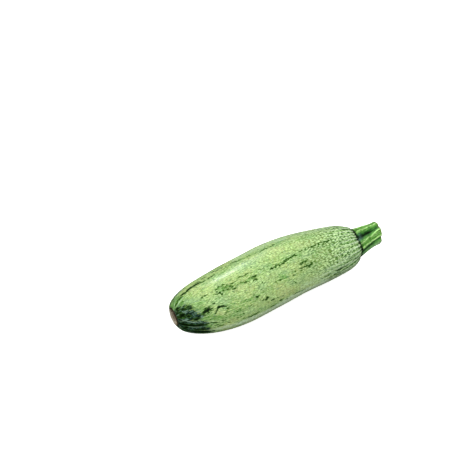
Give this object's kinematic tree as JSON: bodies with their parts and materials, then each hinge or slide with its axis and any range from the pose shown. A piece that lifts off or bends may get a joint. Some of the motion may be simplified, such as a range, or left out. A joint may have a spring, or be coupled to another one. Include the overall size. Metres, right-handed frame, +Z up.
{
  "type": "zucchini",
  "caption": "Whole pale green zucchini lying on its side, with a ridged cut stem at one end and the corky scar of its flower at the other.",
  "frame": {"origin": "a point of the small flat that the zucchini lies on, below the middle of the fruit", "axes": "+X along the fruit from the flower end to the stem, +Z up"},
  "size_m": [0.1814, 0.0518, 0.049],
  "materials": {
    "fruit_skin": "thin waxy skin with a soft sheen, pale green with paler dots and broken dark green stripes along it",
    "stem_green": "fibrous green stalk with bright ridges, dark grooves and a pale cut face",
    "scar_cork": "dry tan cork with a dark brown edge, rough and without gloss"
  },
  "bodies": {
    "root": {"fruit": "fruit_skin", "stem": "stem_green", "blossom_scar": "scar_cork"}
  },
  "joints": []
}
